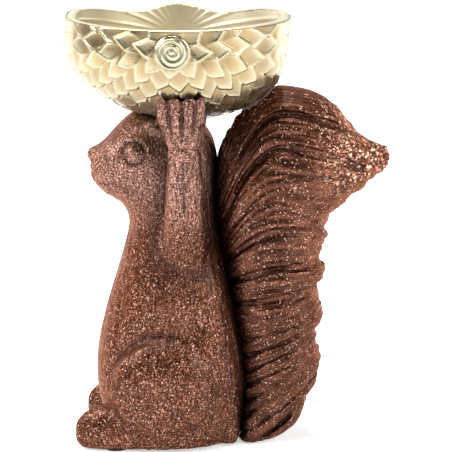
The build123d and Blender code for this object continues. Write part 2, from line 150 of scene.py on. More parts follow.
# Groove round the top and front of each haunch, faded by the direction from the haunch's middle
HAUNCH_X = -33.0
HAUNCH_HEIGHT = 34.0
HAUNCH_RADIUS = 29.5
HAUNCH_OUT = (18.0, 24.0)
HAUNCH_RISING = (-0.45, 0.35)
HAUNCH_FORWARD = (0.75, -0.1)
HAUNCH_CORE = 1.0
HAUNCH_GROOVE_WIDTH = 2.4
HAUNCH_GROOVE_DEPTH = 1.7

# Heel and toes
HEEL = ((-25.0, 23.5), (-15.0, 13.0))
HEEL_OUT = (22.0, 30.0)
HEEL_WIDTH = 1.4
HEEL_DEPTH = 0.9
FIRST_TOE = 16.0
TOE_SPACING = 4.7
TOES_AHEAD = (-68.0, -73.0)
TOES_UNDER = (26.0, 20.0)
TOE_PARTING_WIDTH = 0.9
TOE_PARTING_DEPTH = 0.9

# Fur that runs down the body, none on the nose, a painted highlight that makes the coat paler higher up,
# and the coat's fine strands
FUR_HEIGHT = 0.26
FINE_FUR_SHARE = 0.6
NOSE_AHEAD = (-64.0, -68.0)
PAINTED_HIGHLIGHT_OVER = (105.0, 150.0)
BODY_FLOW = (0.8, 0.8, 7.0)

# Notch at the floor between rump and tail, which both pieces nearly close
NOTCH_REACH = 14.0
NOTCH_NEAR = (NOTCH_REACH, 5.0)
NOTCH_OVER = (0.2, 2.0)
NOTCH_UNDER = (26.0, 5.0)
NOTCH_SHARE = 0.55

# Shade where another casting lies close, up to some reaches away, and in creases of a given depth
SHADE_REACHES = 3
BODY_SHADE = 0.8
BODY_SHADE_REACH = 6.5
ARM_SHADE = 0.85
ARM_SHADE_REACH = 12.0
ARM_SKIN = (0.995, 0.95)
TAIL_SHADE = 0.9
TAIL_SHADE_REACH = 8.5
BODY_CREASE = 0.5
BODY_CREASE_ROUNDS = 12
TAIL_CREASE = 0.7
TAIL_CREASE_ROUNDS = 14

# Hair lines of the tail, as the solids have them
LOCK_WIDTH = 9.8
LOWEST_LINE = -16.2
HAIR_FRONT = -5.0
LOW_SLOPE = 0.8
LEVEL_LINE = 90.0
ARCH_START = 60.0
ARCH_END = 130.0
ARCH_RISE = 59.0
ARCH_CREST = 28.0
ARCH_TAPER = 2.6
LINE_RANGE = (-90.0, 210.0)
LINE_HALVINGS = 24

# Rounded rear edge of the tail
EDGE_BEHIND = (33.0, 40.0)
EDGE_UNDER = (126.0, 116.0)
EDGE_ROUNDS = 22

# Locks with a second parting along some of their length
LOCK_SWAY = 0.1
DOME_HEIGHT = 0.9
DOME_LEVEL = 0.7
LOCK_PARTING_SWAY = 0.3
LOCK_PARTING_WIDTH = 1.1
LOCK_PARTING_DEPTH = 0.9
PARTED_FADE = (-0.25, 0.4)
LOCK_JUMP = 3.7

# Strands within the locks, tufts on the rear edge, large flakes near the tip, and the coat's strands
STRAND_SWAY = 1.5
STRAND_LEVEL = 0.6
FINE_STRAND_SHARE = 0.7
TUFT_HEIGHT = 0.8
TUFT_REARWARD = (0.2, 0.9)
STRANDS_OVER = (1.0, 5.0)
STRAND_SOFTENING = 0.25
CHUNKY_BEHIND = (42.0, 66.0)
CHUNKY_OVER = (128.0, 150.0)
TAIL_FLOW = (1.1, 14.0, 10.0)

# Bowl, as the solids have it
BOWL_RADIUS = 57.0
BOWL_DEPTH = 36.0
BOWL_WALL = 4.5
BOWL_LEAN = np.radians(6.0)
BOWL_MIDDLE = np.array((-26.2, 0.0, 210.0))
SCROLL_RADIUS = 8.5
SCROLL_RISE = 2.0
SCALE_STEP = 10.7
SCALE_WIDTH = 10.0

# Bowl's mesh: columns round it, and rows above and below its widest level
BOWL_COLUMNS = 480
OUTSIDE_ROWS = (34, 114)
INSIDE_ROWS = (28, 24)
BEND_SAMPLES = 400
RING_SAMPLES = 721
RING_STEP = 0.01

# Rounded rim, found on the solid's inner edge, with its two short steps drawn out over some columns
RIM_NEARNESS = 0.05
RIM_LOWEST = 2.0
STEP_COLUMNS = 22
STEP_WIDTH = 0.35
LIP_ROUNDING = 0.9
LIP_BENDS = np.radians((36, 72, 108, 144))
RIM_FADE = (-0.2, 1.0)

# One scale: its outline in shares of its length, then its heights and its raised edge
SCALE_TOP = 26.0
SCALE_REACH = 13.0
SCALE_PARTING = 0.1
SCALE_TIP = 0.6
SCALE_SHOULDER = -0.12
SCALE_ROOT = (-1.0, -0.5)
SCALE_LEVEL = 0.25
SCALE_SLOPE = 0.65
SCALE_CUP = 0.3
SCALE_BEVEL = 0.55
SCALE_EDGE_HEIGHT = 0.36
SCALE_EDGE_INSET = 0.75
SCALE_EDGE_WIDTH = 0.45
SCALE_EDGE_FADE = (-0.5, -0.1)
GROOVE_FADE = (0.9, 0.25)

# Scroll with a spiral groove, and the gap that sets the scales off from it
SPIRAL_LEVEL = 1.35
SPIRAL_HEIGHT = 0.45
SPIRAL_PITCH = 2.7
SPIRAL_INSIDE = (SCROLL_RADIUS, SCROLL_RADIUS - 1.0)
BOSS_INSIDE = (SCROLL_RADIUS + 0.5, SCROLL_RADIUS - 0.9)
SCALES_OUTSIDE = (SCROLL_RADIUS - 0.5, SCROLL_RADIUS + 0.7)
FAR_FROM_SCROLL = 100.0

# Ribs inside the bowl
RIB_COUNT = 30
RIB_HEIGHT = 0.45
RIB_WIDTH = 0.7
RIB_FROM_AXIS = (6.0, 16.0)
RIB_AWAY = (-25.0, 15.0)
RIB_FROM_TOP = (0.2, 0.9)

# Materials: clouds are a scale and a detail, bumps a strength and a distance in metres

# Copper glitter: flakes across in millimetres, and colours from dark flakes to bright ones
FINE_FLAKE = 0.42
SPARSE_FLAKE = 0.5
LARGE_FLAKE = 1.15
FLAKE_COLOURS = (
    (0.0, (0.02, 0.006, 0.003)),
    (0.45, (0.075, 0.024, 0.0117)),
    (0.8, (0.19, 0.065, 0.033)),
    (1.0, (0.5, 0.245, 0.16)),
)
# Paler flake colours for the painted highlight higher up the body
PAINTED_HIGHLIGHT_COLOURS = ((0.0, (0.05, 0.021, 0.015)), (0.5, (0.175, 0.085, 0.062)), (1.0, (0.7, 0.44, 0.37)))
LARGE_COLOURS = ((0.0, (0.05, 0.02, 0.012)), (0.5, (0.45, 0.2, 0.12)), (1.0, (0.95, 0.62, 0.42)))
PATCH_TONES = ((0.3, (0.8, 0.78, 0.78)), (0.7, (1.12, 1.1, 1.08)))
STRAND_TONES = ((0.36, (0.35, 0.32, 0.3)), (0.6, (1.2, 1.2, 1.2)))
SATIN_COLOUR = (0.092, 0.032, 0.017, 1)
SPARKLE_COLOUR = (0.65, 0.43, 0.35, 1)
# Painted shade: the dark colour mixed into the coat in creases and beside other castings
PAINTED_SHADE_COLOUR = (0.018, 0.007, 0.005, 1)
COAT_EDGE_COLOUR = (0.8, 0.5, 0.4, 1)
STRAND_CLOUDS = (1.0, 2.0)
PATCH_CLOUDS = (70.0, 3.0)
STRAND_BUMP = (0.7, 0.0006)
PAINTED_HIGHLIGHT_SHARE = 0.6
SATIN_SHARE = 0.55
STRAND_SHARE = 0.85
PAINTED_SHADE_SHARE = 0.82
LARGE_RARITY = 0.72
SPARKLE_RARITY = 0.965
FLAKE_TILT = 0.4
SATIN_TILT = 0.22
SPARKLE_TILT = 1.1
FLAKE_ROUGHNESS = (0.32, 0.55)

# Champagne gold, paler inside, with a brown wash and specks
GOLD_COLOURS = ((0.3, (0.39, 0.352, 0.226)), (0.7, (0.49, 0.453, 0.324)))
INNER_GOLD = (0.56, 0.505, 0.37, 1)
WASH_COLOUR = (0.26, 0.17, 0.068, 1)
SPECK_COLOUR = (0.2, 0.13, 0.06, 1)
WASH_SHARE = 0.75
SPECK_SHARE = 0.6
SPECK_SIZE = 0.07
SPECK_SCALE = 420.0
GOLD_CLOUDS = (90.0, 4.0)
GOLD_GRAIN = (900.0, 2.0)
GOLD_BUMP = (0.18, 0.0003)
GOLD_ROUGHNESS = (0.23, 0.33)
INNER_ROUGHNESS = 0.2

# Steel of the pins and felt of the pads
STEEL_COLOURS = ((0.3, (0.42, 0.42, 0.43)), (0.7, (0.6, 0.6, 0.61)))
STEEL_GRAIN = (800.0, 2.0)
FELT_COLOURS = ((0.3, (0.02, 0.016, 0.015)), (0.7, (0.075, 0.06, 0.055)))
FELT_FIBRES = (2500.0, 5.0)
FELT_BUMP = (0.6, 0.0004)

# Floor, in metres: white where it is seen, greyer as a source of light on the object
FLOOR_HALF = 6.0
FLOOR_COLOURS = ((0.3, (0.9, 0.9, 0.9)), (0.7, (0.92, 0.92, 0.92)))
FLOOR_CLOUDS = (4.0, 2.0)
FLOOR_BOUNCE = (0.62, 0.62, 0.62, 1)
FLOOR_GLOW = 0.5
FLOOR_GLOW_REACH = (0.12, 0.5)
WHITE = (1, 1, 1, 1)

# Dim room in front, and how far a direction leans to +Y where the white sweep starts and is full
ROOM_LIGHT = 0.08
SWEEP_EDGE = (-0.1, 0.5)

# Camera, in metres, as far away and as high as the photograph's
CAMERA_DISTANCE = 0.8
CAMERA_HEIGHT = 0.285
CAMERA_TARGET = 0.115
CAMERA_LENS = 122.9
CAMERA_SENSOR = 36.0

# Lamps: name, place and size in metres, power in watts
LAMPS = (
    ("key", (-0.95, -0.4, 0.85), (0.7, 0.7), 16),
    ("side", (0.95, -0.5, 0.55), (0.6, 0.8), 10),
    ("top", (-0.2, 0.0, 1.3), (0.9, 0.9), 24),
    ("back left", (-0.9, 0.75, 0.25), (0.7, 0.6), 3),
    ("back right", (0.9, 0.75, 0.25), (0.7, 0.6), 4),
)


def smoothstep(low, high, value):
    """Rise from 0 to 1 between low and high, level at both ends."""
    share = np.clip((value - low) / (high - low), 0, 1)
    return share * share * (3 - 2 * share)


def bell(distance, width):
    """1 at no distance, and nearly 0 at twice the width."""
    return np.exp(-((distance / width) ** 2))


def from_whole(value):
    """Distance to the nearest whole number."""
    return np.abs(value - np.round(value))


def lattice_value(cell, seed):
    """Repeatable value from 0 to 1 for each whole-number cell."""
    mixed = np.bitwise_xor.reduce(cell * np.array(CELL_FACTORS), axis=1) ^ seed * SEED_FACTOR
    mixed = (mixed ^ (mixed >> 13)) * MIX_FACTOR & 0x7FFFFFFF
    return ((mixed ^ (mixed >> 16)) & 0xFFFF) / 0xFFFF


def pattern(kind, *values):
    """Smooth noise from -1 to 1 over three values, in patches of the sizes that its kind gives."""
    seed, *sizes = kind
    points = np.stack([value / size for value, size in zip(values, sizes)], 1)
    base = np.floor(points).astype(np.int64)
    share = smoothstep(0, 1, points - base)
    total = np.zeros(len(points))
    for corner in np.ndindex(2, 2, 2):
        weight = np.prod(np.where(corner, share, 1 - share), axis=1)
        total += weight * lattice_value(base + np.array(corner), seed)
    return 2 * total - 1


def read_vectors(mesh, name):
    """Positions or normals of a mesh's vertices."""
    values = np.empty(3 * len(mesh.vertices), np.float32)
    mesh.vertices.foreach_get(name, values)
    return values.reshape(-1, 3).astype(float)


def place_points(mesh, points):
    """Puts the vertices at points, in millimetres, and gives the surface's directions there."""
    mesh.vertices.foreach_set("co", (points * MM).astype(np.float32).ravel())
    mesh.update()
    return read_vectors(mesh, "normal")


def write_value(mesh, name, values):
    """Stores one number for each vertex, for the materials to read."""
    attribute = mesh.attributes.new(name, "FLOAT", "POINT")
    attribute.data.foreach_set("value", values.astype(np.float32))


def write_coat(mesh, hollow, coarse, satin, painted_highlight, flow):
    """Stores what the glitter reads: painted shade in creases and beside other castings, large flakes,
    satin parts, a painted highlight, and the hair's run.
    """
    for name, values in (("hollow", hollow), ("coarse", coarse), ("satin", satin), ("painted_highlight", painted_highlight)):
        write_value(mesh, name, values)
    attribute = mesh.attributes.new("flow", "FLOAT_VECTOR", "POINT")
    attribute.data.foreach_set("vector", flow.astype(np.float32).ravel())


class Net:
    """Edges of a mesh, for averaging over each vertex's neighbours."""

    def __init__(self, mesh):
        ends = np.empty(2 * len(mesh.edges), np.int32)
        mesh.edges.foreach_get("vertices", ends)
        self.start, self.end = ends.reshape(-1, 2).T
        self.size = len(mesh.vertices)
        self.count = np.bincount(ends, minlength=self.size)

    def mean(self, values):
        """Mean of the neighbours' values, one column at a time."""
        columns = []
        for column in values.T:
            sums = np.bincount(self.start, column[self.end], self.size)
            sums += np.bincount(self.end, column[self.start], self.size)
            columns.append(sums / self.count)
        return np.array(columns).T


def welded(node, grow=0.0):
    """A CAD node's mesh with its split corners joined, made larger all round by grow."""
    solid = bmesh.new()
    solid.from_mesh(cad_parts[node].data)
    bmesh.ops.remove_doubles(solid, verts=solid.verts, dist=WELD_DISTANCE)
    solid.normal_update()
    for vertex in solid.verts:
        vertex.co += vertex.normal * grow * MM
    mesh = bpy.data.meshes.new(node)
    solid.to_mesh(mesh)
    solid.free()
    return mesh


def even_piece(name, meshes, voxel):
    """One closed piece round all the meshes, with evenly spaced vertices."""
    joined = bmesh.new()
    for mesh in meshes:
        joined.from_mesh(mesh)
    outline = bpy.data.meshes.new(name)
    joined.to_mesh(outline)
    joined.free()
    piece = bpy.data.objects.new(name, outline)
    bpy.context.scene.collection.objects.link(piece)
    remesh = piece.modifiers.new("even", "REMESH")
    remesh.mode = "VOXEL"
    remesh.voxel_size = voxel * MM
    evaluated = piece.evaluated_get(bpy.context.evaluated_depsgraph_get())
    even = bpy.data.meshes.new_from_object(evaluated)
    piece.modifiers.clear()
    piece.data = even
    return piece


def smooth(points, net, rounds, share=SMOOTHING_SHARE):
    """Evens out a surface by moving each vertex towards its neighbours."""
    for _ in range(rounds):
        points = points + share * (net.mean(points) - points)
    return points


def smooth_where(points, net, rounds, weight):
    """Evens out the parts of a surface where a weight is over 0."""
    return points + (smooth(points, net, rounds) - points) * weight[:, None]


def fill_creases(points, normals, net, rounds, weight):
    """Rounds the hollow creases of a surface and leaves its rounded-out forms."""
    for _ in range(rounds):
        move = net.mean(points) - points
        hollow = np.einsum("ij,ij->i", move, normals) > 0
        points = points + SMOOTHING_SHARE * move * (hollow * weight)[:, None]
    return points


def raised(points, normals, height, lowest):
    """Points moved out from a surface by a height, but to no level under the lowest."""
    points = points + normals * height[:, None]
    points[:, 2] = np.maximum(points[:, 2], lowest)
    return points


def crevices(points, normals, net, depth, rounds):
    """How far each vertex lies under the smoothed surface round it, from 0 to 1 at depth."""
    under = np.einsum("ij,ij->i", smooth(points, net, rounds) - points, normals)
    return np.clip(under / depth, 0, 1)


def gap_to(points, node, reach):
    """Distance from each vertex to another CAD node, no more than reach."""
    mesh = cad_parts[node].data
    corners = [vertex.co / MM for vertex in mesh.vertices]
    tree = BVHTree.FromPolygons(corners, [face.vertices for face in mesh.polygons])
    gap = np.full(len(points), reach)
    for k, point in enumerate(points):
        distance = tree.find_nearest(point, reach)[3]
        if distance is not None:
            gap[k] = distance
    return gap


def closeness(points, node, reach):
    """How near each vertex lies to another CAD node, from 1 where they touch down to 0."""
    return bell(gap_to(points, node, SHADE_REACHES * reach), reach)


def notch_fill(points, node):
    """Height that nearly closes the notch at the floor between a piece and another CAD node."""
    gap = gap_to(points, node, NOTCH_REACH)
    low = smoothstep(*NOTCH_UNDER, points[:, 2]) * smoothstep(*NOTCH_OVER, points[:, 2])
    return NOTCH_SHARE * gap * smoothstep(*NOTCH_NEAR, gap) * low


def near_line(points, ends):
    """Distance from points to a line in the XZ plane, and the share along it."""
    start, end = np.array(ends, float)
    along = end - start
    flat = points[:, (0, 2)] - start
    share = np.clip(flat @ along / (along @ along), 0, 1)
    return np.linalg.norm(flat - share[:, None] * along, axis=1), share


def by_line(points, ends, width):
    """1 on a line in the XZ plane, falling to 0 beside it."""
    return bell(near_line(points, ends)[0], width)


def patch(points, middle, reach):
    """1 in the middle of an oval patch in the XZ plane, falling to 0 round it."""
    return bell(points[:, 0] - middle[0], reach[0]) * bell(points[:, 2] - middle[1], reach[1])


def eye_distance(points):
    """Distance in the XZ plane from the middle of the eyes."""
    return np.hypot(points[:, 0] - EYE_X, points[:, 2] - EYE_HEIGHT)


def by_eyes(points):
    """Which points lie round an eye."""
    return (np.abs(points[:, 1]) > EYE_SIDE) & (eye_distance(points) < EYE_REACH)


def rounded_body(points, normals, net):
    """Body's surface with the joints at shoulders and rump filled, and paws and back rounded."""
    x, y, z = points.T
    side = np.abs(y)
    shoulders = smoothstep(*SHOULDERS_UNDER, z) * smoothstep(*SHOULDERS_OVER, z)
    shoulders *= smoothstep(*SHOULDERS_OUT, side)
    paws = smoothstep(*PAWS_OVER, z) * smoothstep(*PAWS_OUT, side)
    soles = smoothstep(*SOLES_UNDER, z) * smoothstep(*SOLES_BEHIND, x)
    rump = np.maximum(smoothstep(*RUMP_BEHIND, x), soles) * smoothstep(*RUMP_UNDER, z)
    weight = np.clip(CREASE_FILL + shoulders + rump, 0, 1) * (1 - paws)
    weight *= np.where(by_eyes(points), EYE_FILL, 1.0)
    back = BACK_SHARE * rump * smoothstep(*BACK_BEHIND, x)
    filled = fill_creases(points, normals, net, FILL_ROUNDS, weight)
    return smooth_where(smooth_where(filled, net, PAW_ROUNDS, paws), net, BACK_ROUNDS, back)


def face_relief(start, points):
    """Lids round the eyes, nostrils and a mouth."""
    x, y, z = start.T
    eye = eye_distance(start)
    upward = ((x - EYE_X) * LID_WAY[0] + (z - EYE_HEIGHT) * LID_WAY[1]) / np.maximum(eye, LID_CORE)
    lid = LID_HEIGHT * smoothstep(*LID_FADE, upward) * bell(eye - LID_RADIUS, LID_WIDTH)
    lid -= LID_GROOVE_DEPTH * bell(eye - LID_GROOVE_RADIUS, LID_GROOVE_WIDTH)
    nostril = np.linalg.norm(np.stack((x, np.abs(y), z), 1) - NOSTRIL, axis=1)
    mouth = np.maximum(by_line(points, MOUTH, MOUTH_WIDTH), by_line(points, JAW, MOUTH_WIDTH))
    height = by_eyes(start) * lid
    height -= NOSTRIL_DEPTH * bell(nostril, NOSTRIL_RADIUS)
    return height - MOUTH_DEPTH * mouth * (x < MUZZLE_BACK)


def paw_relief(start):
    """Partings between the four fingers of each paw, and a crease at the wrist."""
    x, y, z = start.T
    side = np.abs(y)
    spread = (x - PAW_X) / (1 + FINGER_FAN * (z - FINGER_MIDDLE)) / FINGER_SPACING
    parting = bell(from_whole(spread) * FINGER_SPACING, FINGER_PARTING_WIDTH)
    fingers = smoothstep(*FINGERS_OVER, z) * smoothstep(*FINGERS_OUT, side)
    fingers *= np.abs(spread) < FINGER_REACH
    from_wrist = z - WRIST_HEIGHT + WRIST_BEND * (x - PAW_X) ** 2
    wrist = bell(from_wrist, WRIST_WIDTH) * smoothstep(*PAWS_OUT, side)
    return (FINGER_HEIGHT - FINGER_PARTING_DEPTH * parting) * fingers - WRIST_DEPTH * wrist


def forearm_relief(start, points):
    """Hollow down the outside of each forearm."""
    beside, share = near_line(points, FOREARM)
    ends = smoothstep(*FOREARM_START, share) * smoothstep(*FOREARM_END, share)
    outside = smoothstep(*FOREARM_OUT, np.abs(start[:, 1]))
    return -FOREARM_DEPTH * bell(beside, FOREARM_WIDTH) * outside * ends


def flank_relief(start):
    """Flank, hollow over the haunch and full beside the tail."""
    height = FLANK_SWELL_HEIGHT * patch(start, FLANK_SWELL, FLANK_SWELL_REACH)
    height -= FLANK_HOLLOW_DEPTH * patch(start, FLANK_HOLLOW, FLANK_HOLLOW_REACH)
    return height * smoothstep(*FLANK_OUT, np.abs(start[:, 1]))


def haunch_relief(start):
    """Groove that sets off the top and front of each haunch."""
    x, y, z = start.T
    from_middle = np.hypot(x - HAUNCH_X, z - HAUNCH_HEIGHT)
    length = np.maximum(from_middle, HAUNCH_CORE)
    over = smoothstep(*HAUNCH_RISING, (z - HAUNCH_HEIGHT) / length)
    over *= smoothstep(*HAUNCH_FORWARD, (x - HAUNCH_X) / length)
    groove = bell(from_middle - HAUNCH_RADIUS, HAUNCH_GROOVE_WIDTH)
    return -HAUNCH_GROOVE_DEPTH * groove * over * smoothstep(*HAUNCH_OUT, np.abs(y))


def foot_relief(start, points):
    """Crease over each heel and partings between the toes."""
    x, y, z = start.T
    side = np.abs(y)
    heel = by_line(points, HEEL, HEEL_WIDTH) * smoothstep(*HEEL_OUT, side)
    parting = bell(from_whole((side - FIRST_TOE) / TOE_SPACING) * TOE_SPACING, TOE_PARTING_WIDTH)
    toes = smoothstep(*TOES_AHEAD, x) * smoothstep(*TOES_UNDER, z)
    return -HEEL_DEPTH * heel - TOE_PARTING_DEPTH * parting * toes


def fur_relief(start):
    """Fur that runs down the body, with none round the eyes and on the nose."""
    fur = pattern(COARSE_FUR, *start.T) + FINE_FUR_SHARE * pattern(FINE_FUR, *start.T)
    bare = np.clip(by_eyes(start) + smoothstep(*NOSE_AHEAD, start[:, 0]), 0, 1)
    return FUR_HEIGHT * fur * (1 - bare)


def body_shade(points):
    """Shade on the body beside the tail and beside the arms, but not on the arms themselves."""
    shade = BODY_SHADE * closeness(points, "tail_casting", BODY_SHADE_REACH)
    for node in ARM_NODES:
        beside = closeness(points, node, ARM_SHADE_REACH)
        shade = np.maximum(shade, ARM_SHADE * beside * smoothstep(*ARM_SKIN, beside))
    return shade


def make_body():
    """Body and arms in one skin, because the coat covers the joints between the castings."""
    meshes = [welded("body_casting")] + [welded(node, ARM_GROWTH) for node in ARM_NODES]
    piece = even_piece("squirrel_body", meshes, BODY_VOXEL)
    mesh = piece.data
    net = Net(mesh)
    # Most forms go by the vertices' places at the start, and lines by those of the rounded surface
    start = smooth(read_vectors(mesh, "co") / MM, net, BODY_SMOOTHING)
    points = rounded_body(start, place_points(mesh, start), net)
    normals = place_points(mesh, points)
    height = notch_fill(points, "tail_casting")
    height += face_relief(start, points) + paw_relief(start) + forearm_relief(start, points)
    height += flank_relief(start) + haunch_relief(start) + foot_relief(start, points) + fur_relief(start)
    points = raised(points, normals, height, start[:, 2].min())
    normals = place_points(mesh, points)
    # Painted shade: crease depth and nearness to the tail and arms, stored to darken the coat
    crease_shade = crevices(points, normals, net, BODY_CREASE, BODY_CREASE_ROUNDS)
    none = np.zeros(len(points))
    # Painted highlight: paler flakes higher up the body
    painted_highlight = smoothstep(*PAINTED_HIGHLIGHT_OVER, start[:, 2])
    write_coat(mesh, np.maximum(crease_shade, body_shade(points)), none, none, painted_highlight, start / BODY_FLOW)
    return piece


def hair_height(x, line):
    """Height at x of the hair lines that start at given heights on the tail's front edge."""
    arching = smoothstep(ARCH_START, ARCH_END, line)
    slope = LOW_SLOPE * np.clip(1 - line / LEVEL_LINE, 0, 1)
    past = (x - ARCH_CREST) / (ARCH_CREST - HAIR_FRONT)
    past = np.where(past > 0, past / ARCH_TAPER, past)
    return line + (1 - arching) * slope * (x - HAIR_FRONT) + arching * ARCH_RISE * (1 - past**2)


def hair_lines(x, z):
    """The hair line through each place, named by its height at the tail's front edge."""
    low = np.full(len(x), LINE_RANGE[0])
    high = np.full(len(x), LINE_RANGE[1])
    for _ in range(LINE_HALVINGS):
        middle = (low + high) / 2
        under = hair_height(x, middle) < z
        low = np.where(under, middle, low)
        high = np.where(under, high, middle)
    return (low + high) / 2


def lock_relief(x, y, line, sway):
    """Domed locks between the hair lines, some of them parted again along their middle."""
    lock = (line - LOWEST_LINE) / LOCK_WIDTH + LOCK_SWAY * sway
    dome = np.sqrt(np.sin(np.pi * (lock - np.floor(lock)))) - DOME_LEVEL
    wander = lock + 0.5 + LOCK_PARTING_SWAY * pattern(PARTING_SWAY, x, y, line)
    parting = bell(from_whole(wander) * LOCK_WIDTH, LOCK_PARTING_WIDTH)
    parted = smoothstep(*PARTED_FADE, pattern(PARTED_STRETCH, x, y, np.floor(lock) * LOCK_JUMP))
    return DOME_HEIGHT * dome - LOCK_PARTING_DEPTH * parted * parting


def strand_relief(x, y, hair):
    """Thin strands along the hair."""
    coarse = np.abs(pattern(COARSE_STRAND, hair, x, y))
    fine = np.abs(pattern(FINE_STRAND, hair, x, y))
    return coarse + FINE_STRAND_SHARE * fine - STRAND_LEVEL


def make_tail():
    """Bushy tail, with the solid's locks rounded off and carved into strands along the hair lines."""
    piece = even_piece("squirrel_tail", [welded("tail_casting")], TAIL_VOXEL)
    mesh = piece.data
    net = Net(mesh)
    points = smooth(read_vectors(mesh, "co") / MM, net, TAIL_SMOOTHING)
    edge = smoothstep(*EDGE_BEHIND, points[:, 0]) * smoothstep(*EDGE_UNDER, points[:, 2])
    points = smooth_where(points, net, EDGE_ROUNDS, edge)
    normals = place_points(mesh, points)
    x, y, z = points.T
    line = hair_lines(x, z)
    sway = pattern(SWAY, x, y, line)
    hair = line + STRAND_SWAY * sway
    tufts = smoothstep(*TUFT_REARWARD, normals[:, 0]) * pattern(REAR_TUFT, line, y, x)
    height = lock_relief(x, y, line, sway) + strand_relief(x, y, hair) + TUFT_HEIGHT * tufts
    height = height * smoothstep(*STRANDS_OVER, z) + notch_fill(points, "body_casting")
    points = smooth(raised(points, normals, height, z.min()), net, 1, STRAND_SOFTENING)
    normals = place_points(mesh, points)
    # Painted shade: crease depth and nearness to the body, stored to darken the coat
    crease_shade = crevices(points, normals, net, TAIL_CREASE, TAIL_CREASE_ROUNDS)
    shade = TAIL_SHADE * closeness(points, "body_casting", TAIL_SHADE_REACH)
    chunky = smoothstep(*CHUNKY_BEHIND, x) * smoothstep(*CHUNKY_OVER, z)
    flow = np.stack((hair, x, y), 1) / TAIL_FLOW
    write_coat(mesh, np.maximum(crease_shade, shade), chunky, 1 - chunky, np.zeros(len(points)), flow)
    return piece


def bowl_axes():
    """Bowl's own directions: across, away from the camera and up its leaning axis."""
    sine = np.sin(BOWL_LEAN)
    cosine = np.cos(BOWL_LEAN)
    return np.array(((cosine, 0, -sine), (0, 1, 0), (sine, 0, cosine)))


def to_bowl(points):
    """Points in the bowl's own frame."""
    return (points - BOWL_MIDDLE) @ bowl_axes().T


def from_bowl(points):
    """Points of the bowl's own frame back in the whole frame."""
    return points @ bowl_axes() + BOWL_MIDDLE


def rim_levels(angles):
    """Rim's height up the bowl's axis at each angle, read off the solid's inner rim."""
    solid = to_bowl(read_vectors(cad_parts["bowl"].data, "co") / MM)
    reach = np.hypot(solid[:, 0], solid[:, 1])
    turn = np.arctan2(solid[:, 1], solid[:, 0])
    lip = (np.abs(reach - BOWL_RADIUS + BOWL_WALL) < RIM_NEARNESS) & (solid[:, 2] > RIM_LOWEST)
    order = np.argsort(turn[lip])
    return np.interp(angles, turn[lip][order], solid[lip][order, 2], period=2 * np.pi)


def eased_ends(angles, levels):
    """Rim levels with the short step at each end of the near side drawn out into a slope."""
    window = np.hanning(2 * STEP_COLUMNS + 1)
    padded = np.concatenate((levels[-STEP_COLUMNS:], levels, levels[:STEP_COLUMNS]))
    drawn = np.convolve(padded, window / window.sum(), "valid")
    return levels + (drawn - levels) * bell(np.sin(angles), STEP_WIDTH)


def ring(angles, out, level):
    """Points round the bowl's axis, some way out from it and at a level."""
    return np.stack((out * np.cos(angles), out * np.sin(angles), level + 0 * angles), 1)


def bowl_wall(angles, levels, inset, upper_rows, lower_rows):
    """Rows of points and outward directions down a wall of the bowl, from the rim to the bottom."""
    radius = BOWL_RADIUS - inset
    depth = BOWL_DEPTH - inset
    fine = np.linspace(0, np.pi / 2, BEND_SAMPLES)
    steps = np.hypot(np.diff(radius * np.cos(fine)), np.diff(depth * np.sin(fine)))
    way = np.concatenate(((0,), np.cumsum(steps)))
    bends = np.interp(np.linspace(0, way[-1], lower_rows + 1)[1:-1], way, fine)
    rows = []
    directions = []
    for share in np.linspace(0, 1, upper_rows):
        rows.append(ring(angles, radius, levels * (1 - share)))
        directions.append(ring(angles, 1.0, 0.0))
    for bend in bends:
        rows.append(ring(angles, radius * np.cos(bend), -depth * np.sin(bend)))
        tilt = np.array((np.cos(bend) / radius, np.sin(bend) / depth))
        tilt /= np.hypot(*tilt)
        directions.append(ring(angles, tilt[0], -tilt[1]))
    return np.array(rows), np.array(directions)


def ring_points(spread, turns):
    """Points on the bowl's outside at one spread from the scroll, turned from below."""
    ahead = -np.cos(spread) + 0 * turns
    up = -np.sin(spread) * np.cos(turns)
    lift = SCROLL_RISE / BOWL_RADIUS
    aside = np.sin(spread) * np.sin(turns)
    away = ahead * np.cos(lift) + up * np.sin(lift)
    rise = up * np.cos(lift) - ahead * np.sin(lift)
    flat = np.hypot(aside, away)
    under = rise <= 0
    out = np.where(under, BOWL_RADIUS, BOWL_RADIUS / flat)
    level = np.where(under, BOWL_DEPTH * rise, BOWL_RADIUS * np.arcsin(np.clip(rise, -1, 1)))
    return np.stack((out * aside, out * away, level), 1)


def scale_frames():
    """Middle, direction across, and length away from the scroll, of every scale on the bowl."""
    frames = []
    spread = (SCROLL_RADIUS + SCALE_STEP / 2) / BOWL_RADIUS
    half_step = SCALE_STEP / BOWL_RADIUS / 2
    turns = np.linspace(-np.pi, np.pi, RING_SAMPLES)
    stagger = 0.0
    while spread < np.pi - half_step:
        steps = np.linalg.norm(np.diff(ring_points(spread, turns), axis=0), axis=1)
        way = np.concatenate(((0,), np.cumsum(steps)))
        way -= way[RING_SAMPLES // 2]
        count = int(way[-1] / SCALE_WIDTH) + 1
        for k in range(-count, count + 1):
            turn = np.interp((k + stagger) * SCALE_WIDTH, way, turns)
            middle, beside = ring_points(spread, np.array((turn, turn + RING_STEP)))
            inner = ring_points(spread - half_step, np.array((turn,)))[0]
            outer = ring_points(spread + half_step, np.array((turn,)))[0]
            across = beside - middle
            if middle[2] < SCALE_TOP:
                frames.append((middle, across / np.linalg.norm(across), outer - inner))
        stagger = 0.5 - stagger
        spread += 2 * half_step
    return frames


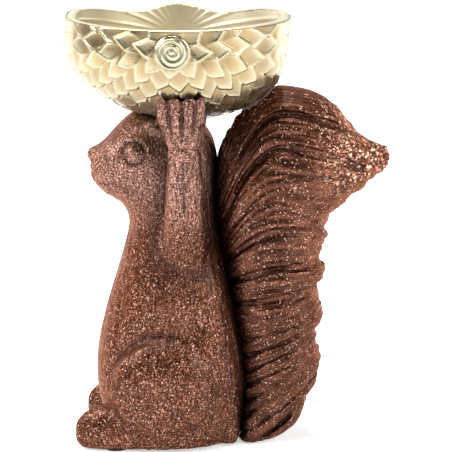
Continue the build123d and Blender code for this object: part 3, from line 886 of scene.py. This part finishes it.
def scale_height(across, away, length):
    """Height of one pointed scale at places across and away from its middle, with a raised edge."""
    half_width = SCALE_WIDTH / 2 - SCALE_PARTING
    shoulder = SCALE_SHOULDER * length
    taper = SCALE_TIP * length - shoulder
    from_side = half_width - np.abs(across)
    from_point = (from_side * taper + (shoulder - away) * half_width) / np.hypot(taper, half_width)
    inside = np.minimum(from_side, from_point)
    share = away / length
    level = SCALE_LEVEL + SCALE_SLOPE * (share + 0.5) + SCALE_CUP * (across / half_width) ** 2
    edge = bell(inside - SCALE_EDGE_INSET, SCALE_EDGE_WIDTH) * smoothstep(*SCALE_EDGE_FADE, share)
    level += SCALE_EDGE_HEIGHT * edge
    return level * smoothstep(0, SCALE_BEVEL, inside) * smoothstep(*SCALE_ROOT, share)


def outside_relief(points):
    """Height of the overlapping scales and of the scroll over the bowl's smooth outside."""
    height = np.zeros(len(points))
    for middle, across, away in scale_frames():
        near = np.flatnonzero(np.linalg.norm(points - middle, axis=1) < SCALE_REACH)
        length = np.linalg.norm(away)
        offset = points[near] - middle
        scale = scale_height(offset @ across, offset @ (away / length), length)
        height[near] = np.maximum(height[near], scale)
    x, y, z = points.T
    from_scroll = np.where(y < 0, np.hypot(x, z - SCROLL_RISE), FAR_FROM_SCROLL)
    curl = np.arctan2(z - SCROLL_RISE, x) / (2 * np.pi)
    spiral = np.cos(2 * np.pi * (from_scroll / SPIRAL_PITCH - curl))
    spiral *= smoothstep(*SPIRAL_INSIDE, from_scroll)
    boss = (SPIRAL_LEVEL + SPIRAL_HEIGHT * spiral) * smoothstep(*BOSS_INSIDE, from_scroll)
    return np.maximum(height * smoothstep(*SCALES_OUTSIDE, from_scroll), boss)


def rib_relief(points):
    """Height of the thin ribs inside the bowl, which fan out from its far side."""
    x, y, z = points.T
    turn = np.arctan2(x, SCROLL_RISE - z)
    from_axis = np.hypot(x, z - SCROLL_RISE)
    spacing = 2 * np.pi / RIB_COUNT
    beside = from_whole(turn / spacing) * spacing * from_axis
    fade = smoothstep(*RIB_FROM_AXIS, from_axis) * smoothstep(*RIB_AWAY, y)
    fade *= smoothstep(*RIB_FROM_TOP, np.pi - np.abs(turn))
    return RIB_HEIGHT * bell(beside, RIB_WIDTH) * fade


def bowl_rows():
    """Rows of points from inside to outside, how hollow each point is, and how many rows are inner."""
    angles = np.linspace(-np.pi, np.pi, BOWL_COLUMNS, endpoint=False)
    levels = eased_ends(angles, rim_levels(angles))
    outside, outward = bowl_wall(angles, levels, 0.0, *OUTSIDE_ROWS)
    inside, outward_inside = bowl_wall(angles, levels, BOWL_WALL, *INSIDE_ROWS)
    relief = outside_relief(outside.reshape(-1, 3)).reshape(outside.shape[:2])
    relief *= smoothstep(*RIM_FADE, levels - outside[:, :, 2])
    ribs = rib_relief(inside.reshape(-1, 3)).reshape(inside.shape[:2])
    outside = outside + outward * relief[:, :, None]
    inside = inside - outward_inside * ribs[:, :, None]
    outside[0, :, 2] -= LIP_ROUNDING
    inside[0, :, 2] -= LIP_ROUNDING
    lip = []
    for bend in LIP_BENDS[::-1]:
        out = BOWL_RADIUS - BOWL_WALL / 2 + np.cos(bend) * BOWL_WALL / 2
        lip.append(ring(angles, out, levels + np.sin(bend) * LIP_ROUNDING - LIP_ROUNDING))
    grooves = np.zeros((len(inside) + len(lip), BOWL_COLUMNS))
    hollow = np.concatenate((grooves, smoothstep(*GROOVE_FADE, relief)))
    return np.concatenate((inside[::-1], lip, outside)), hollow, len(grooves)


def make_bowl():
    """Bowl with raised scales and a scroll outside, ribs inside and a waved, rounded rim."""
    rows, hollow, inner_rows = bowl_rows()
    number = np.arange(hollow.size).reshape(hollow.shape)
    following = np.roll(number, -1, axis=1)
    quads = np.stack((number[:-1], number[1:], following[1:], following[:-1]), 2).reshape(-1, 4)
    faces = quads.tolist()
    faces.append(number[0].tolist())
    faces.append(number[-1][::-1].tolist())
    mesh = bpy.data.meshes.new("scaled_bowl")
    mesh.from_pydata((from_bowl(rows.reshape(-1, 3)) * MM).tolist(), [], faces)
    mesh.update()
    inner = np.zeros(hollow.shape)
    inner[:inner_rows] = 1
    write_value(mesh, "hollow", hollow.ravel())
    write_value(mesh, "inner", inner.ravel())
    piece = bpy.data.objects.new("scaled_bowl", mesh)
    bpy.context.scene.collection.objects.link(piece)
    return piece


class Nodes:
    """Node tree of a material or a world, with short calls to add and join nodes."""

    def __init__(self, owner, shader="Principled BSDF"):
        owner.use_nodes = True
        self.tree = owner.node_tree
        self.shader = self.tree.nodes[shader]

    def add(self, kind, inputs=None, **settings):
        """Adds a node, sets its properties and fills its inputs with values or other outputs."""
        node = self.tree.nodes.new(kind)
        for name, value in settings.items():
            setattr(node, name, value)
        for name, value in (inputs or {}).items():
            self.fill(node.inputs[name], value)
        return node

    def fill(self, socket, value):
        """Joins a socket to an output, or sets its value."""
        if isinstance(value, bpy.types.NodeSocket):
            self.tree.links.new(value, socket)
        else:
            socket.default_value = value

    def shade(self, **inputs):
        """Fills the main shader's inputs, named with underscores for spaces."""
        for name, value in inputs.items():
            self.fill(self.shader.inputs[name.replace("_", " ")], value)

    def place(self):
        """Place on the object, in metres."""
        return self.add("ShaderNodeTexCoord").outputs["Object"]

    def attribute(self, name, output="Fac"):
        """A value stored on the mesh."""
        return self.add("ShaderNodeAttribute", attribute_name=name).outputs[output]

    def clouds(self, vector, scale, detail):
        """Soft noise."""
        inputs = {"Vector": vector, "Scale": scale, "Detail": detail}
        return self.add("ShaderNodeTexNoise", inputs).outputs["Fac"]

    def bump(self, height, strength, distance):
        """Surface direction roughened by a height."""
        inputs = {"Height": height, "Strength": strength, "Distance": distance}
        return self.add("ShaderNodeBump", inputs).outputs["Normal"]

    def ramp(self, factor, stops):
        """Colours along a factor, each stop a place and a colour."""
        node = self.add("ShaderNodeValToRGB", {"Fac": factor})
        elements = node.color_ramp.elements
        while len(elements) < len(stops):
            elements.new(1.0)
        for element, (place, colour) in zip(elements, stops):
            element.position = place
            element.color = (*colour, 1)
        return node.outputs["Color"]

    def grey_ramp(self, factor, places, levels):
        """Levels of grey between two places along a factor."""
        return self.ramp(factor, [(place, (level, level, level)) for place, level in zip(places, levels)])

    def math(self, operation, *values):
        """One arithmetic step."""
        node = self.add("ShaderNodeMath", operation=operation)
        for socket, value in zip(node.inputs, values):
            self.fill(socket, value)
        return node.outputs[0]

    def vector_math(self, operation, first, second=None):
        """One step of arithmetic on vectors."""
        inputs = {0: first}
        if second is not None:
            inputs["Scale" if operation == "SCALE" else 1] = second
        return self.add("ShaderNodeVectorMath", inputs, operation=operation)

    def map_range(self, value, inputs, interpolation="LINEAR"):
        """A value moved from one range to another, each from 0 to 1 unless its inputs say otherwise."""
        settings = {"interpolation_type": interpolation}
        return self.add("ShaderNodeMapRange", {"Value": value, **inputs}, **settings).outputs["Result"]

    def mix(self, factor, first, second, blend="MIX"):
        """Mixes two colours."""
        node = self.add("ShaderNodeMix", data_type="RGBA", blend_type=blend)
        sockets = (node.inputs[0], node.inputs[6], node.inputs[7])
        for socket, value in zip(sockets, (factor, first, second)):
            self.fill(socket, value)
        return node.outputs[2]

    def flakes(self, place, size):
        """Cells the size of glitter flakes, each with its own random colour, and that colour's channels."""
        cells = self.add("ShaderNodeTexVoronoi", {"Vector": place, "Scale": 1 / MM / size}, feature="F1")
        colour = cells.outputs["Color"]
        return colour, self.add("ShaderNodeSeparateColor", {"Color": colour}).outputs

    def tilted(self, flakes, normal, tilt):
        """Surface direction tipped differently for each flake."""
        spread = self.vector_math("SUBTRACT", flakes, (0.5, 0.5, 0.5)).outputs[0]
        scaled = self.vector_math("SCALE", spread, tilt).outputs[0]
        summed = self.vector_math("ADD", scaled, normal).outputs[0]
        return self.vector_math("NORMALIZE", summed).outputs[0]


def new_material(name):
    """A new material and its nodes."""
    material = bpy.data.materials.new(name)
    return material, Nodes(material)


def glitter_material():
    """Copper-brown glitter: small metallic flakes at random tilts, with painted shade in the creases and
    beside other castings, and a painted highlight higher up.
    """
    material, nodes = new_material("copper_glitter")
    place = nodes.place()
    satin = nodes.attribute("satin")
    fine, fine_random = nodes.flakes(place, FINE_FLAKE)
    sparse_random = nodes.flakes(place, SPARSE_FLAKE)[1]
    large_random = nodes.flakes(place, LARGE_FLAKE)[1]
    strands = nodes.clouds(nodes.attribute("flow", "Vector"), *STRAND_CLOUDS)
    patches = nodes.clouds(place, *PATCH_CLOUDS)

    colour = nodes.ramp(fine_random["Red"], FLAKE_COLOURS)
    # Painted highlight: paler flakes mixed in higher up the body
    highlight_colour = nodes.ramp(fine_random["Red"], PAINTED_HIGHLIGHT_COLOURS)
    colour = nodes.mix(nodes.math("MULTIPLY", nodes.attribute("painted_highlight"), PAINTED_HIGHLIGHT_SHARE), colour, highlight_colour)
    colour = nodes.mix(nodes.math("MULTIPLY", satin, SATIN_SHARE), colour, SATIN_COLOUR)
    colour = nodes.mix(1.0, colour, nodes.ramp(patches, PATCH_TONES), "MULTIPLY")
    colour = nodes.mix(STRAND_SHARE, colour, nodes.ramp(strands, STRAND_TONES), "MULTIPLY")
    chosen = nodes.math("GREATER_THAN", large_random["Green"], LARGE_RARITY)
    chunk = nodes.math("MULTIPLY", chosen, nodes.attribute("coarse"))
    colour = nodes.mix(chunk, colour, nodes.ramp(large_random["Red"], LARGE_COLOURS))
    sparkle = nodes.math("GREATER_THAN", sparse_random["Green"], SPARKLE_RARITY)
    colour = nodes.mix(sparkle, colour, SPARKLE_COLOUR)
    # Painted shade: darker in creases and where another casting lies close
    painted_shade = nodes.math("MULTIPLY", nodes.attribute("hollow"), PAINTED_SHADE_SHARE)
    colour = nodes.mix(painted_shade, colour, PAINTED_SHADE_COLOUR)

    carved = nodes.bump(strands, *STRAND_BUMP)
    even = nodes.map_range(satin, {"To Min": FLAKE_TILT, "To Max": SATIN_TILT})
    tilt = nodes.math("MAXIMUM", even, nodes.math("MULTIPLY", sparkle, SPARKLE_TILT))
    normal = nodes.tilted(fine, carved, tilt)
    roughness = nodes.grey_ramp(fine_random["Blue"], (0.0, 1.0), FLAKE_ROUGHNESS)
    nodes.shade(Base_Color=colour, Normal=normal, Roughness=roughness, Metallic=1.0)
    nodes.shade(Specular_Tint=COAT_EDGE_COLOUR, Coat_Weight=0.15, Coat_Roughness=0.25)
    return material


def gold_material():
    """Satin champagne-gold paint with a brown wash left in the grooves."""
    material, nodes = new_material("champagne_gold")
    place = nodes.place()
    clouds = nodes.clouds(place, *GOLD_CLOUDS)
    inner = nodes.attribute("inner")
    colour = nodes.mix(inner, nodes.ramp(clouds, GOLD_COLOURS), INNER_GOLD)
    wash = nodes.math("MULTIPLY", nodes.attribute("hollow"), WASH_SHARE)
    colour = nodes.mix(wash, colour, WASH_COLOUR)
    cells = nodes.add("ShaderNodeTexVoronoi", {"Vector": place, "Scale": SPECK_SCALE}, feature="F1")
    speck = nodes.math("LESS_THAN", cells.outputs["Distance"], SPECK_SIZE)
    colour = nodes.mix(nodes.math("MULTIPLY", speck, SPECK_SHARE), colour, SPECK_COLOUR)
    roughness = nodes.grey_ramp(clouds, (0.3, 0.7), GOLD_ROUGHNESS)
    roughness = nodes.math("MULTIPLY_ADD", inner, INNER_ROUGHNESS, roughness)
    normal = nodes.bump(nodes.clouds(place, *GOLD_GRAIN), *GOLD_BUMP)
    nodes.shade(Base_Color=colour, Roughness=roughness, Normal=normal, Metallic=0.9)
    return material


def steel_material():
    """Plain steel of the hidden pins."""
    material, nodes = new_material("pin_steel")
    colour = nodes.ramp(nodes.clouds(nodes.place(), *STEEL_GRAIN), STEEL_COLOURS)
    nodes.shade(Base_Color=colour, Metallic=1.0, Roughness=0.35)
    return material


def felt_material():
    """Dark felt with a soft, fibrous surface."""
    material, nodes = new_material("felt")
    fibres = nodes.clouds(nodes.place(), *FELT_FIBRES)
    colour = nodes.ramp(fibres, FELT_COLOURS)
    normal = nodes.bump(fibres, *FELT_BUMP)
    nodes.shade(Base_Color=colour, Roughness=0.95, Normal=normal, Sheen_Weight=0.3)
    return material


def paint(mesh, material):
    """Gives a mesh one material in place of any other."""
    mesh.materials.clear()
    mesh.materials.append(material)


def dress(piece, material, slot, *replaced):
    """Gives a piece its material and hangs it on the frame in place of CAD nodes."""
    paint(piece.data, material)
    piece.data.polygons.foreach_set("use_smooth", np.ones(len(piece.data.polygons), bool))
    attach(piece, "root")
    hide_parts(*replaced)


def add_floor():
    """Plain white floor, a little brighter to the camera further out, that keeps the object's shadow."""
    material, nodes = new_material("floor")
    place = nodes.place()
    path = nodes.add("ShaderNodeLightPath").outputs
    seen = nodes.math("MAXIMUM", path["Is Camera Ray"], path["Is Glossy Ray"])
    seen = nodes.math("MAXIMUM", seen, path["Is Transmission Ray"])
    reach = nodes.vector_math("LENGTH", place).outputs["Value"]
    near, far = FLOOR_GLOW_REACH
    glow = nodes.map_range(reach, {"From Min": near, "From Max": far, "To Min": FLOOR_GLOW})
    glow = nodes.math("MULTIPLY", glow, seen)
    colour = nodes.ramp(nodes.clouds(place, *FLOOR_CLOUDS), FLOOR_COLOURS)
    colour = nodes.mix(seen, FLOOR_BOUNCE, colour)
    nodes.shade(Base_Color=colour, Roughness=0.9)
    nodes.shade(Emission_Color=WHITE, Emission_Strength=glow)
    corners = [(FLOOR_HALF * x, FLOOR_HALF * y, 0) for x, y in ((-1, -1), (1, -1), (1, 1), (-1, 1))]
    mesh = bpy.data.meshes.new("floor")
    mesh.from_pydata(corners, [], [(0, 1, 2, 3)])
    mesh.materials.append(material)
    floor = bpy.data.objects.new("floor", mesh)
    bpy.context.scene.collection.objects.link(floor)


def add_world():
    """White for the camera, a white sweep behind the object for the metal, and a dim room for the rest."""
    world = bpy.data.worlds.new("studio")
    bpy.context.scene.world = world
    nodes = Nodes(world, "Background")
    path = nodes.add("ShaderNodeLightPath").outputs
    way = nodes.add("ShaderNodeTexCoord").outputs["Generated"]
    behind = nodes.add("ShaderNodeSeparateXYZ", {0: way}).outputs["Y"]
    begins, full = SWEEP_EDGE
    sweep = nodes.map_range(behind, {"From Min": begins, "From Max": full}, "SMOOTHSTEP")
    mirrored = nodes.math("MAXIMUM", path["Is Glossy Ray"], path["Is Transmission Ray"])
    mirrored = nodes.math("MULTIPLY", mirrored, sweep)
    seen = nodes.math("MAXIMUM", path["Is Camera Ray"], mirrored)
    strength = nodes.map_range(seen, {"To Min": ROOM_LIGHT, "To Max": 1.0})
    nodes.shade(Color=WHITE, Strength=strength)


def aim(thing, place):
    """Puts a lamp or the camera at a place and turns it to the middle of the object."""
    thing.location = place
    way = Vector((0, 0, CAMERA_TARGET)) - Vector(place)
    thing.rotation_euler = way.to_track_quat("-Z", "Y").to_euler()
    bpy.context.scene.collection.objects.link(thing)


def add_lamp(name, place, size, power):
    """Large soft area light aimed at the object."""
    light = bpy.data.lights.new(name, "AREA")
    light.shape = "RECTANGLE"
    light.size, light.size_y = size
    light.energy = power
    lamp = bpy.data.objects.new(name, light)
    lamp.visible_camera = False
    aim(lamp, place)


def add_camera():
    """Camera where the photograph was taken from."""
    data = bpy.data.cameras.new("camera")
    data.lens = CAMERA_LENS
    data.sensor_width = CAMERA_SENSOR
    camera = bpy.data.objects.new("camera", data)
    aim(camera, (0, -CAMERA_DISTANCE, CAMERA_HEIGHT))
    bpy.context.scene.camera = camera


glitter = glitter_material()
dress(make_body(), glitter, "copper_glitter", "body_casting", "left_arm", "right_arm")
dress(make_tail(), glitter, "copper_glitter", "tail_casting")
dress(make_bowl(), gold_material(), "champagne_gold", "bowl")

steel = steel_material()
for pin in ("tail_pins", "arm_pins", "bowl_pin"):
    paint(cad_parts[pin].data, steel)
paint(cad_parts["felt_pads"].data, felt_material())

add_floor()
add_world()
for lamp_values in LAMPS:
    add_lamp(*lamp_values)
add_camera()
bpy.context.scene.view_settings.view_transform = "Standard"
